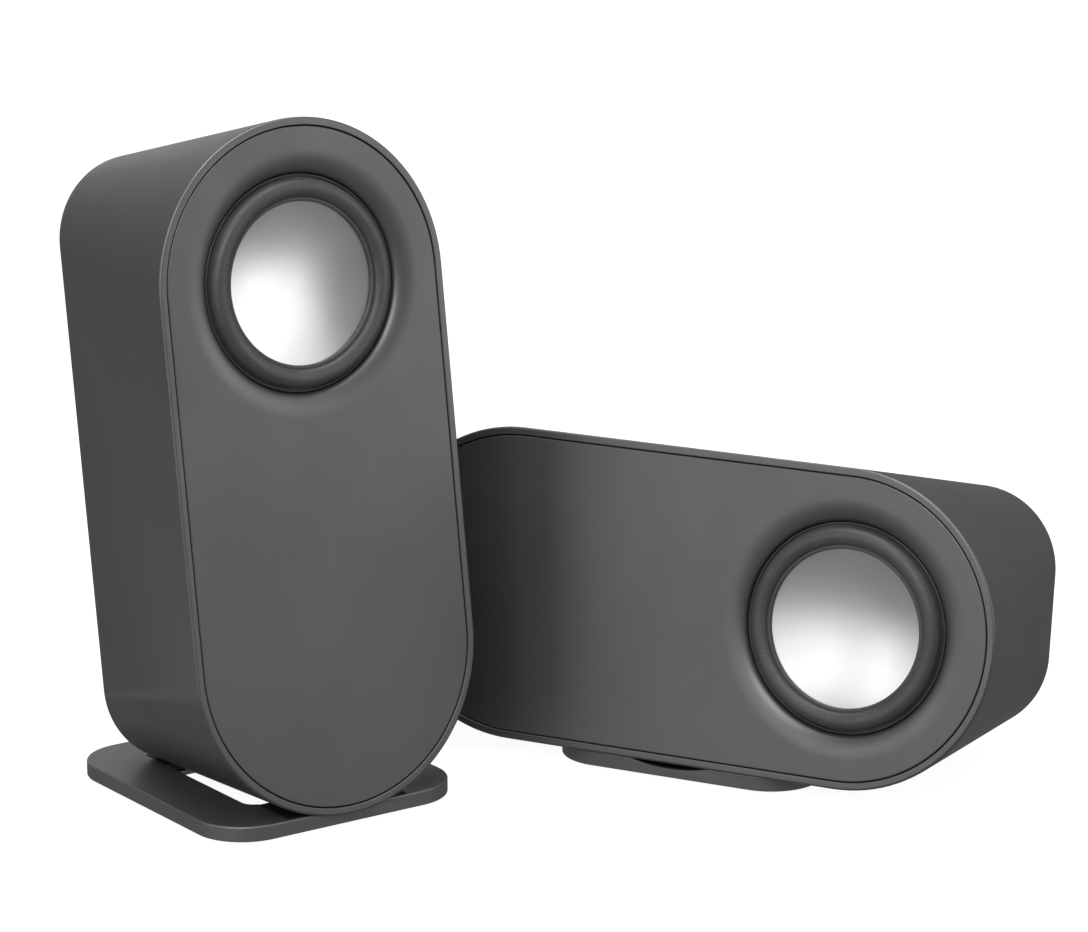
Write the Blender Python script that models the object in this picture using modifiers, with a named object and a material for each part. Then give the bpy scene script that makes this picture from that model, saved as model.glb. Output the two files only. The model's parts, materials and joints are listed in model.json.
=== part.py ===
"""A pair of desktop speakers on low stands: one cabinet upright, one lying on its side.

Each cabinet is a tapered tub whose walls close in towards the back by the same angle that the
cabinet leans back, so its lower wall lies level on the stand.  Lengths are in metres, +Z is up,
and +Y points away from a person in front of the pair.
"""

from math import cos, pi, radians, sin, sqrt, tan

import bmesh
import bpy
from mathutils import Matrix, Vector

# Cabinet: a stadium at the front, a smaller rounded rectangle at the back.
HALF_WIDTH = 0.047
HALF_HEIGHT = 0.100
DEPTH = 0.077
LEAN = radians(8.1)
FRONT_CORNER = 0.0469
BACK_CORNER = 0.023
BACK_EDGE = 0.005
WALL = 0.0023
CORNER_STEPS = 8

# Small clearances.
GAP = 0.0003
SEAM = 0.0003

# Front baffle, its gasket and the ledge in the cabinet that carries them.
BAFFLE_FRONT = 0.0001
BAFFLE_THICKNESS = 0.0029
GASKET_THICKNESS = 0.001
LEDGE_DEPTH = 0.0046
LEDGE_THICKNESS = 0.002
LEDGE_WIDTH = 0.0065

# Driver: its axis is the centre of the cabinet's round end.  Heights are along the axis,
# from the cabinet's front plane, positive towards the listener.
DRIVER_HEIGHT = HALF_HEIGHT - HALF_WIDTH
RECESS_RADIUS = 0.0382
RECESS_DEPTH = 0.0027
BORE_RADIUS = 0.0312
COLLAR_RADIUS = 0.0388
COLLAR_BACK = -0.0068
TRIM_RADIUS = 0.0309
LIP_WIDTH = 0.0008
LIP_TOP = -0.0025
ROLL_RADIUS = 0.0270
ROLL_HALF_WIDTH = 0.0026
ROLL_CREST = 0.0002
SKIN = 0.0005
SURROUND_OUTER_LEVEL = -0.0028
SURROUND_LEVEL = -0.0015
CONE_VISIBLE_RADIUS = 0.0232
CONE_RADIUS = 0.0243
CONE_DISH = 0.0030
CONE_SKIN = 0.0006
FLANGE_RADIUS = 0.0372
FLANGE_THICKNESS = 0.0016
COIL_RADIUS = 0.0100
COIL_GAP = 0.0005
COIL_BOTTOM = -0.0262
SPIDER_LEVEL = -0.0150
TOP_PLATE_FRONT = -0.0215
TOP_PLATE_THICKNESS = 0.003
TOP_PLATE_RADIUS = 0.0185
MAGNET_RADIUS = 0.0205
MAGNET_BORE = 0.0130
MAGNET_THICKNESS = 0.0095
YOKE_THICKNESS = 0.004
VENT_RADIUS = 0.0025
SCREW_CIRCLE = 0.0350
SCREW_RADIUS = 0.0012
SCREW_HEAD_RADIUS = 0.0022
SCREW_HEAD_HEIGHT = 0.0014
ROUND_STEPS = 32
HIDDEN_STEPS = 24
SMALL_STEPS = 16
TINY_STEPS = 8

# Cable gland in the back wall, and the two leads that run to it.
GLAND_HEIGHT = -0.055
GLAND_NECK = 0.0040
GLAND_FLANGE = 0.0062
GLAND_BORE = 0.0020
LEAD_RADIUS = 0.0007

# Stand: a rounded plate with a window, two rubber cradle pads and four rubber feet.
PLATE_WIDTH = 0.0824
PLATE_DEPTH = 0.090
PLATE_THICKNESS = 0.0046
PLATE_CORNER = 0.0155
PLATE_EDGE = 0.0005
PLATE_SETBACK = 0.0018
FOOT_PROUD = 0.0008
PLATE_TOP = FOOT_PROUD + PLATE_THICKNESS
CRADLE_SINK = 0.0015
WINDOW_HALF_WIDTH = 0.0227
WINDOW_FRONT = 0.0175
WINDOW_BACK = 0.0641
WINDOW_CORNER = 0.0042
PAD_POCKET_DEPTH = 0.0030
FRONT_PAD_HALF_WIDTH = 0.0200
FRONT_LIP = 0.0010
BACK_PAD_END = 0.0753
FOOT_RADIUS = 0.0050
FOOT_THICKNESS = 0.0015
FOOT_X = 0.0305
FOOT_Y = (0.0105, 0.0795)

# Where the middle of each stand's front edge is on the desk, and how far it is turned.
LEFT_PLACE = (-0.0620, -0.0643)
LEFT_TURN = radians(35.2)
RIGHT_PLACE = (0.0304, -0.0251)
RIGHT_TURN = radians(-27.3)


# ------------------------------------------------------------------ scene helpers

def clear_scene():
    for thing in list(bpy.data.objects):
        bpy.data.objects.remove(thing, do_unlink=True)


def new_collection(name):
    collection = bpy.data.collections.new(name)
    bpy.context.scene.collection.children.link(collection)
    return collection


def new_material(name, colour, roughness, metallic=0.0):
    material = bpy.data.materials.new(name)
    material.use_nodes = True
    shader = material.node_tree.nodes["Principled BSDF"]
    shader.inputs["Base Color"].default_value = (*colour, 1.0)
    shader.inputs["Roughness"].default_value = roughness
    shader.inputs["Metallic"].default_value = metallic
    material.diffuse_color = (*colour, 1.0)
    return material


def new_empty(name, parent=None, matrix=Matrix.Identity(4)):
    empty = bpy.data.objects.new(name, None)
    PARTS.objects.link(empty)
    empty.parent = parent
    empty.matrix_local = matrix
    return empty


def new_object(name, mesh, parent, material=None, smooth=True):
    thing = bpy.data.objects.new(name, mesh)
    PARTS.objects.link(thing)
    thing.parent = parent
    if material is not None:
        mesh.materials.append(material)
    if smooth:
        mesh.shade_smooth()
        mesh.set_sharp_from_angle(angle=radians(35))
    return thing


def move_to_cutters(thing):
    PARTS.objects.unlink(thing)
    CUTTERS.objects.link(thing)
    thing.hide_render = True
    thing.display_type = "WIRE"
    return thing


def boolean(target, tool, operation="DIFFERENCE"):
    """Cut a tool out of a target, or join it on."""
    modifier = target.modifiers.new(tool.name, "BOOLEAN")
    modifier.operation = operation
    modifier.solver = "EXACT"
    modifier.object = move_to_cutters(tool) if tool.name in PARTS.objects else tool


# ------------------------------------------------------------------ shape helpers

def turned(name, profile, parent, material=None, steps=ROUND_STEPS):
    """A solid turned about Z from a closed outline of (radius, height) points."""
    area = sum(a[0] * b[1] - b[0] * a[1] for a, b in zip(profile, profile[1:] + profile[:1]))
    points = profile if area < 0 else profile[::-1]
    mesh = bpy.data.meshes.new(name)
    edges = [(i, (i + 1) % len(points)) for i in range(len(points))]
    mesh.from_pydata([(r, 0, z) for r, z in points], edges, [])
    thing = new_object(name, mesh, parent, material, smooth=False)
    screw = thing.modifiers.new("turn", "SCREW")
    screw.steps = screw.render_steps = steps
    screw.use_merge_vertices = True
    screw.merge_threshold = 0.00001
    screw.use_smooth_shade = True
    return thing


def plug(name, radius, bottom, top, parent, material=None, steps=SMALL_STEPS, at=(0, 0)):
    """A round bar along Z."""
    bm = bmesh.new()
    bmesh.ops.create_cone(bm, cap_ends=True, segments=steps, radius1=radius, radius2=radius,
                          depth=top - bottom)
    bmesh.ops.translate(bm, verts=bm.verts, vec=(at[0], at[1], (top + bottom) / 2))
    mesh = bpy.data.meshes.new(name)
    bm.to_mesh(mesh)
    bm.free()
    return new_object(name, mesh, parent, material)


def block(name, low, high, parent, material=None, bevel=0.0):
    """A box between two corners, with its edges rounded."""
    bm = bmesh.new()
    size = Vector(high) - Vector(low)
    bmesh.ops.create_cube(bm, size=1.0, matrix=Matrix.Diagonal((*size, 1)))
    bmesh.ops.translate(bm, verts=bm.verts, vec=(Vector(high) + Vector(low)) / 2)
    mesh = bpy.data.meshes.new(name)
    bm.to_mesh(mesh)
    bm.free()
    thing = new_object(name, mesh, parent, material, smooth=False)
    if bevel:
        rounding = thing.modifiers.new("rounded edges", "BEVEL")
        rounding.width = bevel
        rounding.segments = 2
    return thing


def arc(centre, radius, start, end, steps):
    """Points along an arc, in degrees, both ends included."""
    turns = [radians(start + (end - start) * i / steps) for i in range(steps + 1)]
    return [(centre[0] + radius * cos(t), centre[1] + radius * sin(t)) for t in turns]


def rounded_outline(left, right, low, high, corners, steps):
    """A rectangle with its own radius at each corner: right-high, left-high, left-low, right-low."""
    signs = ((right, high, -1, -1), (left, high, 1, -1), (left, low, 1, 1), (right, low, -1, 1))
    points = []
    for quarter, ((x, y, dx, dy), radius) in enumerate(zip(signs, corners)):
        centre = (x + dx * radius, y + dy * radius)
        points += arc(centre, radius, 90 * quarter, 90 * quarter + 90, steps)
    return points


def slab(name, outline, bottom, top, parent, material=None):
    """A flat outline given a thickness along Z."""
    bm = bmesh.new()
    face = bm.faces.new([bm.verts.new((x, y, bottom)) for x, y in outline])
    grown = bmesh.ops.extrude_face_region(bm, geom=[face])
    rim = [item for item in grown["geom"] if isinstance(item, bmesh.types.BMVert)]
    bmesh.ops.translate(bm, verts=rim, vec=(0, 0, top - bottom))
    bmesh.ops.recalc_face_normals(bm, faces=bm.faces)
    mesh = bpy.data.meshes.new(name)
    bm.to_mesh(mesh)
    bm.free()
    return new_object(name, mesh, parent, material)


def tub_ring(depth, inset):
    """The cabinet's outline at a depth behind its front plane, drawn in by an inset."""
    closing = depth * tan(LEAN) + inset
    radius = FRONT_CORNER + (BACK_CORNER - FRONT_CORNER) * depth / DEPTH - inset
    wide, high = HALF_WIDTH - closing, HALF_HEIGHT - closing
    outline = rounded_outline(-wide, wide, -high, high, [radius] * 4, CORNER_STEPS)
    return [(x, depth, z) for x, z in outline]


def lofted(name, rings, parent, material=None, closed_ring=False):
    """Skin a row of equal rings.  The ends are capped, or joined to each other."""
    bm = bmesh.new()
    rows = [[bm.verts.new(point) for point in ring] for ring in rings]
    pairs = list(zip(rows, rows[1:]))
    if closed_ring:
        pairs.append((rows[-1], rows[0]))
    else:
        bm.faces.new(rows[0])
        bm.faces.new(rows[-1][::-1])
    for near, far in pairs:
        count = len(near)
        for i in range(count):
            j = (i + 1) % count
            bm.faces.new((near[i], near[j], far[j], far[i]))
    bmesh.ops.recalc_face_normals(bm, faces=bm.faces)
    mesh = bpy.data.meshes.new(name)
    bm.to_mesh(mesh)
    bm.free()
    return new_object(name, mesh, parent, material)


def back_edge_rings(inset, back, radius, steps=3):
    """The rings that round off the tub's back edge."""
    rings = []
    for i in range(steps + 1):
        turn = pi / 2 * i / steps
        rings.append(tub_ring(back - radius + radius * sin(turn), inset + radius * (1 - cos(turn))))
    return rings


def wire(name, points, radius, parent, material):
    """A round wire along a smooth curve through a few points."""
    route = smooth_route([Vector(point) for point in points], 3)
    curve = bpy.data.curves.new(name, "CURVE")
    curve.dimensions = "3D"
    curve.bevel_depth = radius
    curve.bevel_resolution = 1
    curve.use_fill_caps = True
    spline = curve.splines.new("POLY")
    spline.points.add(len(route) - 1)
    for target, point in zip(spline.points, route):
        target.co = (*point, 1.0)
    curve.materials.append(material)
    thing = bpy.data.objects.new(name, curve)
    PARTS.objects.link(thing)
    thing.parent = parent
    return thing


def smooth_route(points, steps):
    """Catmull-Rom points through the given ones."""
    padded = [2 * points[0] - points[1], *points, 2 * points[-1] - points[-2]]
    route = []
    for a, b, c, d in zip(padded, padded[1:], padded[2:], padded[3:]):
        for i in range(steps):
            t = i / steps
            route.append(0.5 * (2 * b + (c - a) * t + (2 * a - 5 * b + 4 * c - d) * t ** 2
                                + (3 * b - a - 3 * c + d) * t ** 3))
    return [*route, points[-1]]


# ------------------------------------------------------------------ cabinet

def make_cabinet_shell(prefix, frame):
    ledge_back = LEDGE_DEPTH + LEDGE_THICKNESS
    outside = [tub_ring(0, 0), *back_edge_rings(0, DEPTH, BACK_EDGE)]
    inside = [
        *back_edge_rings(WALL, DEPTH - WALL, BACK_EDGE - WALL, 2)[::-1],
        tub_ring(ledge_back, WALL),
        tub_ring(ledge_back, LEDGE_WIDTH),
        tub_ring(LEDGE_DEPTH, LEDGE_WIDTH),
        tub_ring(LEDGE_DEPTH, WALL),
        tub_ring(0, WALL),
    ]
    shell = lofted_tub(prefix + "cabinet_shell", outside, inside, frame)
    hole = plug(prefix + "gland_hole", GLAND_NECK + GAP, -DEPTH - 0.005, -DEPTH + 0.008,
                frame["back"])
    boolean(shell, hole)


def lofted_tub(name, outside, inside, frame):
    """A tub: both skins are capped at the back and joined round the front rim."""
    bm = bmesh.new()
    outer = [[bm.verts.new(point) for point in ring] for ring in outside]
    inner = [[bm.verts.new(point) for point in ring] for ring in inside]
    bm.faces.new(outer[-1])
    bm.faces.new(inner[0])
    rows = [*outer[::-1]]
    for chain in (rows, inner, [inner[-1], outer[0]]):
        for near, far in zip(chain, chain[1:]):
            for i in range(len(near)):
                j = (i + 1) % len(near)
                bm.faces.new((near[i], near[j], far[j], far[i]))
    bmesh.ops.recalc_face_normals(bm, faces=bm.faces)
    mesh = bpy.data.meshes.new(name)
    bm.to_mesh(mesh)
    bm.free()
    return new_object(name, mesh, frame["cabinet"], SHELL)


def make_front_baffle(prefix, frame):
    """A flat panel whose face rolls over in a quarter ellipse into the bore for the driver."""
    inset = WALL + SEAM
    back = BAFFLE_FRONT + BAFFLE_THICKNESS
    baffle = lofted(prefix + "front_baffle", [tub_ring(BAFFLE_FRONT, inset), tub_ring(back, inset)],
                    frame["cabinet"], BAFFLE)
    collar = plug(prefix + "collar", COLLAR_RADIUS, COLLAR_BACK, -BAFFLE_FRONT - 0.001,
                  frame["driver"], steps=ROUND_STEPS)
    boolean(baffle, collar, "UNION")
    width = RECESS_RADIUS - BORE_RADIUS
    slope = []
    for i in range(7):
        turn = pi / 2 * i / 6
        slope.append((RECESS_RADIUS - width * sin(turn), -BAFFLE_FRONT - RECESS_DEPTH * (1 - cos(turn))))
    recess = [(0, 0.004), (RECESS_RADIUS + 0.001, 0.004), (RECESS_RADIUS + 0.0002, -BAFFLE_FRONT + 0.0002),
              *slope, (BORE_RADIUS, COLLAR_BACK - 0.002), (0, COLLAR_BACK - 0.002)]
    boolean(baffle, turned(prefix + "recess", recess, frame["driver"]))
    for number, (x, y) in enumerate(screw_places()):
        boolean(baffle, plug(f"{prefix}pilot_{number}", SCREW_RADIUS + GAP, COLLAR_BACK - 0.001,
                             COLLAR_BACK + 0.0029, frame["driver"], steps=TINY_STEPS, at=(x, y)))


def screw_places():
    turns = [radians(45 + 90 * i) for i in range(4)]
    return [(SCREW_CIRCLE * cos(t), SCREW_CIRCLE * sin(t)) for t in turns]


def make_baffle_gasket(prefix, frame):
    front = BAFFLE_FRONT + BAFFLE_THICKNESS + GAP
    back = front + GASKET_THICKNESS
    near, far = WALL + SEAM, LEDGE_WIDTH - 0.001
    lofted(prefix + "baffle_gasket",
           [tub_ring(front, near), tub_ring(back, near), tub_ring(back, far), tub_ring(front, far)],
           frame["cabinet"], FOAM, closed_ring=True)


def make_cable_gland(prefix, frame):
    """A rubber bush that grips the back wall on both sides of its hole."""
    outside, inside = -DEPTH - GAP, -DEPTH + WALL + GAP
    profile = [
        (GLAND_BORE, outside - 0.0016), (GLAND_FLANGE - 0.001, outside - 0.0016),
        (GLAND_FLANGE, outside - 0.0008), (GLAND_FLANGE, outside), (GLAND_NECK, outside),
        (GLAND_NECK, inside), (GLAND_FLANGE - 0.001, inside),
        (GLAND_NECK, inside + 0.0022), (GLAND_BORE, inside + 0.0022),
    ]
    turned(prefix + "cable_gland", profile, frame["back"], RUBBER, SMALL_STEPS)


def make_damping_wadding(prefix, frame):
    block(prefix + "damping_wadding", (-0.028, 0.013, -0.084), (0.028, 0.056, 0.004),
          frame["cabinet"], WADDING, bevel=0.006)


def make_lead_wires(prefix, frame):
    """Two leads from the driver's terminals, behind the wadding, down to the gland."""
    for side, colour, material in ((-1, "red", RED), (1, "black", BLACK)):
        x = side * 0.0028
        route = [
            (x, 0.0172, DRIVER_HEIGHT - 0.0322), (x, 0.0215, DRIVER_HEIGHT - 0.0330),
            (side * 0.0045, 0.032, DRIVER_HEIGHT - 0.036), (side * 0.006, 0.050, 0.008),
            (side * 0.004, 0.0625, -0.010), (side * 0.0022, 0.0660, -0.030),
            (side * 0.0012, 0.0672, -0.046), (side * 0.0012, 0.0690, -0.0535),
            (side * 0.0012, 0.0722, GLAND_HEIGHT),
        ]
        wire(f"{prefix}lead_wire_{colour}", route, LEAD_RADIUS, frame["cabinet"], material)


# ------------------------------------------------------------------ driver

def make_trim_ring(prefix, frame):
    """The narrow ring round the surround, with a ledge that carries its edge."""
    outer, inner = TRIM_RADIUS, TRIM_RADIUS - LIP_WIDTH
    ledge = SURROUND_OUTER_LEVEL - SKIN / 2 - GAP
    half = LIP_WIDTH / 2
    lip = [(outer - half + half * cos(t), LIP_TOP - half + half * sin(t))
           for t in (pi * i / 4 for i in range(5))]
    profile = [(outer, COLLAR_BACK + GAP), *lip, (inner, ledge), (inner - 0.0021, ledge),
               (inner - 0.0021, ledge - 0.0015), (inner - 0.0008, ledge - 0.0025),
               (inner - 0.0008, COLLAR_BACK + GAP)]
    turned(prefix + "driver_trim_ring", profile, frame["driver"], TRIM)


def make_surround(prefix, frame):
    """A half-roll of rubber between the trim ring's ledge and the edge of the cone."""
    steps = 6
    outer_edge = TRIM_RADIUS - LIP_WIDTH - GAP
    top = [(outer_edge, SURROUND_OUTER_LEVEL + SKIN / 2)]
    bottom = [(outer_edge, SURROUND_OUTER_LEVEL - SKIN / 2)]
    for i in range(steps + 1):
        turn = pi * i / steps
        foot = SURROUND_OUTER_LEVEL if i <= steps / 2 else SURROUND_LEVEL
        r, z = ROLL_RADIUS + ROLL_HALF_WIDTH * cos(turn), foot + (ROLL_CREST - foot) * sin(turn)
        nudge = Vector((cos(turn), sin(turn))) * SKIN / 2
        if 0 < i < steps:
            top.append((r + nudge.x, z + nudge.y))
            bottom.append((r - nudge.x, z - nudge.y))
        else:
            top.append((r + nudge.x, foot + SKIN / 2))
            bottom.append((r - nudge.x, foot - SKIN / 2))
    top.append((CONE_VISIBLE_RADIUS, SURROUND_LEVEL + SKIN / 2))
    bottom.append((CONE_VISIBLE_RADIUS, SURROUND_LEVEL - SKIN / 2))
    turned(prefix + "surround", top + bottom[::-1], frame["driver"], SURROUND)


def dish_height(radius):
    """How far the middle of the cone's dish lies behind its edge at a radius."""
    sphere = (CONE_RADIUS ** 2 + CONE_DISH ** 2) / (2 * CONE_DISH)
    return CONE_DISH - (sphere - sqrt(sphere ** 2 - radius ** 2))


def make_cone(prefix, frame):
    edge = SURROUND_LEVEL - SKIN / 2 - GAP
    rings = [CONE_RADIUS * i / 5 for i in range(6)]
    front = [(r, edge - dish_height(r)) for r in rings]
    back = [(r, z - CONE_SKIN) for r, z in front]
    turned(prefix + "cone", front + back[::-1], frame["driver"], SILVER)


def make_voice_coil(prefix, frame):
    """The coil's former, open at its back end, with the winding as a thicker band."""
    front = SURROUND_LEVEL - SKIN / 2 - GAP - dish_height(COIL_RADIUS) - CONE_SKIN - 2 * GAP
    inner, outer = COIL_RADIUS - 0.0002, COIL_RADIUS + 0.0002
    winding = COIL_RADIUS + 0.0003
    profile = [(inner, COIL_BOTTOM), (inner, front), (outer, front), (outer, TOP_PLATE_FRONT + 0.002),
               (winding, TOP_PLATE_FRONT + 0.002), (winding, COIL_BOTTOM)]
    turned(prefix + "voice_coil", profile, frame["driver"], COPPER, HIDDEN_STEPS)


def make_spider(prefix, frame):
    """A corrugated disc that centres the coil in its gap."""
    start, end, waves = COIL_RADIUS + 0.0006, 0.0182, 1.5
    steps = 6
    rows = []
    for i in range(steps + 1):
        t = i / steps
        rows.append((start + (end - start) * t, SPIDER_LEVEL + 0.0007 * sin(2 * pi * waves * t)))
    rows.append((0.0208, SPIDER_LEVEL))
    top = [(r, z + 0.0002) for r, z in rows]
    bottom = [(r, z - 0.0002) for r, z in rows]
    turned(prefix + "spider", top + bottom[::-1], frame["driver"], CLOTH, HIDDEN_STEPS)


def make_driver_basket(prefix, frame):
    """A pressed frame: a flange, a windowed wall, a shelf for the spider and a seat."""
    front = COLLAR_BACK - GAP
    flange_back = front - FLANGE_THICKNESS
    shelf = SPIDER_LEVEL - 0.0002 - GAP
    seat = TOP_PLATE_FRONT + GAP
    profile = [
        (FLANGE_RADIUS, front), (FLANGE_RADIUS, flange_back), (0.0300, flange_back),
        (0.0232, shelf - 0.0018), (0.0200, shelf - 0.0018), (0.0182, seat), (0.0125, seat),
        (0.0125, seat + 0.0014), (0.0170, seat + 0.0014), (0.0185, shelf), (0.0218, shelf),
        (0.0282, flange_back + 0.0002), (0.0282, front),
    ]
    basket = turned(prefix + "driver_basket", profile, frame["driver"], STEEL, HIDDEN_STEPS)
    for number in range(4):
        window = block(f"{prefix}basket_window_{number}", (-0.0070, 0.0225, shelf + 0.0006),
                       (0.0070, 0.034, flange_back - 0.0006), frame["driver"])
        window.rotation_euler.z = pi / 2 * number
        boolean(basket, window)
    for number, (x, y) in enumerate(screw_places()):
        boolean(basket, plug(f"{prefix}flange_hole_{number}", SCREW_RADIUS + GAP,
                             flange_back - 0.001, front + 0.001, frame["driver"], steps=TINY_STEPS, at=(x, y)))


def make_magnet_system(prefix, frame):
    back = TOP_PLATE_FRONT - TOP_PLATE_THICKNESS
    bore = COIL_RADIUS + 0.0003 + COIL_GAP
    ring(prefix + "top_plate", bore, TOP_PLATE_RADIUS, back, TOP_PLATE_FRONT, frame, ZINC)
    magnet_front = back - GAP
    magnet_back = magnet_front - MAGNET_THICKNESS
    ring(prefix + "magnet", MAGNET_BORE, MAGNET_RADIUS, magnet_back, magnet_front, frame, FERRITE)
    yoke_front = magnet_back - GAP
    yoke_back = yoke_front - YOKE_THICKNESS
    pole = COIL_RADIUS - 0.0002 - COIL_GAP
    profile = [(VENT_RADIUS, yoke_back), (TOP_PLATE_RADIUS - 0.0012, yoke_back),
               (TOP_PLATE_RADIUS, yoke_back + 0.0012), (TOP_PLATE_RADIUS, yoke_front),
               (pole, yoke_front), (pole, TOP_PLATE_FRONT), (VENT_RADIUS, TOP_PLATE_FRONT)]
    turned(prefix + "pole_yoke", profile, frame["driver"], ZINC, HIDDEN_STEPS)


def ring(name, inner, outer, bottom, top, frame, material):
    """A plain washer with its outer edges broken."""
    edge = 0.0006
    profile = [(inner, bottom), (outer - edge, bottom), (outer, bottom + edge), (outer, top), (inner, top)]
    turned(name, profile, frame["driver"], material, HIDDEN_STEPS)


def make_terminal_strip(prefix, frame):
    """A small board with two solder tags, on the wall of the basket below the cone."""
    strip = block(prefix + "terminal_strip", (-0.0055, -0.0330, -0.0142), (0.0055, -0.0312, -0.0092),
                  frame["driver"], BOARD)
    for side in (-1, 1):
        tag = block(f"{prefix}tag_{side}", (side * 0.0028 - 0.0011, -0.0325, -0.0164),
                    (side * 0.0028 + 0.0011, -0.0318, -0.0130), frame["driver"])
        boolean(strip, tag, "UNION")


def make_driver_screws(prefix, frame):
    """Pan-head screws put in from behind, through the flange and into the baffle's collar."""
    seat = COLLAR_BACK - GAP - FLANGE_THICKNESS - GAP
    for number, (x, y) in enumerate(screw_places(), 1):
        head = SCREW_HEAD_RADIUS
        profile = [
            (0, seat - SCREW_HEAD_HEIGHT), (head - 0.0006, seat - SCREW_HEAD_HEIGHT),
            (head, seat - SCREW_HEAD_HEIGHT + 0.0006), (head, seat), (SCREW_RADIUS, seat),
            (SCREW_RADIUS, COLLAR_BACK + 0.0020), (0, COLLAR_BACK + 0.0026),
        ]
        screw = turned(f"{prefix}driver_screw_{number}", profile, frame["driver"], ZINC, TINY_STEPS)
        screw.location = (x, y, 0)


# ------------------------------------------------------------------ stand

def make_stand_plate(prefix, frame):
    half = PLATE_WIDTH / 2
    outline = rounded_outline(-half, half, 0, PLATE_DEPTH, [PLATE_CORNER] * 4, 8)
    plate = slab(prefix + "stand_plate", outline, FOOT_PROUD, PLATE_TOP, frame["stand"], PLATE)
    rounding = plate.modifiers.new("rounded edges", "BEVEL")
    rounding.width = PLATE_EDGE
    rounding.segments = 1
    rounding.limit_method = "ANGLE"
    rounding.angle_limit = radians(60)
    window = rounded_outline(-WINDOW_HALF_WIDTH, WINDOW_HALF_WIDTH, WINDOW_FRONT, WINDOW_BACK,
                             [0.0008, 0.0008, WINDOW_CORNER, WINDOW_CORNER], 4)
    boolean(plate, slab(prefix + "window", window, -0.001, 0.008, frame["stand"]))
    floor = PLATE_TOP - PAD_POCKET_DEPTH
    for name, wide, low, high in pad_places():
        pocket = block(f"{prefix}{name}_pocket", (-wide - GAP, low - GAP, floor),
                       (wide + GAP, high + GAP, 0.008), frame["stand"])
        boolean(plate, pocket)
    boolean(plate, make_cradle_cutter(prefix + "plate_cradle", frame))
    for number, (x, y) in enumerate(foot_places()):
        boolean(plate, plug(f"{prefix}foot_pocket_{number}", FOOT_RADIUS + GAP, -0.001,
                            FOOT_THICKNESS + GAP, frame["stand"], at=(x, y)))


def pad_places():
    """Each cradle pad's name, half width, front edge and back edge, measured from the plate's front."""
    return (("front_cradle_pad", FRONT_PAD_HALF_WIDTH, FRONT_LIP, WINDOW_FRONT - GAP),
            ("rear_cradle_pad", WINDOW_HALF_WIDTH, WINDOW_BACK + GAP, BACK_PAD_END))


def foot_places():
    return [(x, y) for y in FOOT_Y for x in (-FOOT_X, FOOT_X)]


def upright_matrix():
    """Where an upright cabinet's front-plane centre is on its stand."""
    rim_back = HALF_HEIGHT * sin(LEAN) - PLATE_SETBACK
    height = PLATE_TOP - CRADLE_SINK + HALF_HEIGHT * cos(LEAN)
    return Matrix.Translation((0, rim_back, height)) @ Matrix.Rotation(-LEAN, 4, "X")


def lying_matrix():
    """Where a cabinet that lies on its long side is, its driver at the right-hand end."""
    rim_back = HALF_WIDTH * sin(LEAN) - PLATE_SETBACK
    height = PLATE_TOP + GAP + HALF_WIDTH * cos(LEAN)
    lean = Matrix.Translation((0, rim_back, height)) @ Matrix.Rotation(-LEAN, 4, "X")
    return lean @ Matrix.Rotation(pi / 2, 4, "Y")


def make_cradle_cutter(name, frame):
    """An upright cabinet's outside, grown by the gap, which hollows the plate and the pads."""
    rings = [tub_ring(0, -GAP), *back_edge_rings(-GAP, DEPTH + GAP, BACK_EDGE + GAP)]
    cutter = lofted(name, rings, frame["stand"])
    cutter.matrix_local = upright_matrix()
    return cutter


def make_cradle_pads(prefix, frame):
    for name, wide, low, high in pad_places():
        pad = block(prefix + name, (-wide, low, PLATE_TOP - PAD_POCKET_DEPTH + GAP), (wide, high, PLATE_TOP),
                    frame["stand"], RUBBER)
        boolean(pad, make_cradle_cutter(f"{prefix}{name}_cradle", frame))


def make_feet(prefix, frame):
    for number, (x, y) in enumerate(foot_places(), 1):
        profile = [(0, 0), (FOOT_RADIUS - 0.0004, 0), (FOOT_RADIUS, 0.0004),
                   (FOOT_RADIUS, FOOT_THICKNESS), (0, FOOT_THICKNESS)]
        foot = turned(f"{prefix}foot_{number}", profile, frame["stand"], RUBBER, SMALL_STEPS)
        foot.location = (x, y, 0)


# ------------------------------------------------------------------ assembly

def make_speaker(prefix, place, turn, posture):
    """One cabinet with its driver and its stand."""
    stand = new_empty(prefix + "stand_frame", None,
                      Matrix.Translation((*place, 0)) @ Matrix.Rotation(turn, 4, "Z"))
    cabinet = new_empty(prefix + "cabinet_frame", stand, posture)
    towards_listener = Matrix.Rotation(pi / 2, 4, "X")
    driver = new_empty(prefix + "driver_axis", cabinet,
                       Matrix.Translation((0, 0, DRIVER_HEIGHT)) @ towards_listener)
    back = new_empty(prefix + "gland_axis", cabinet,
                     Matrix.Translation((0, 0, GLAND_HEIGHT)) @ towards_listener)
    frame = {"stand": stand, "cabinet": cabinet, "driver": driver, "back": back}
    make_cabinet_shell(prefix, frame)
    make_front_baffle(prefix, frame)
    make_baffle_gasket(prefix, frame)
    make_cable_gland(prefix, frame)
    make_damping_wadding(prefix, frame)
    make_trim_ring(prefix, frame)
    make_surround(prefix, frame)
    make_cone(prefix, frame)
    make_voice_coil(prefix, frame)
    make_spider(prefix, frame)
    make_driver_basket(prefix, frame)
    make_magnet_system(prefix, frame)
    make_terminal_strip(prefix, frame)
    make_driver_screws(prefix, frame)
    make_lead_wires(prefix, frame)
    make_stand_plate(prefix, frame)
    make_cradle_pads(prefix, frame)
    make_feet(prefix, frame)


clear_scene()
PARTS = new_collection("desktop_speakers")
CUTTERS = new_collection("cutters")

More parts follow.
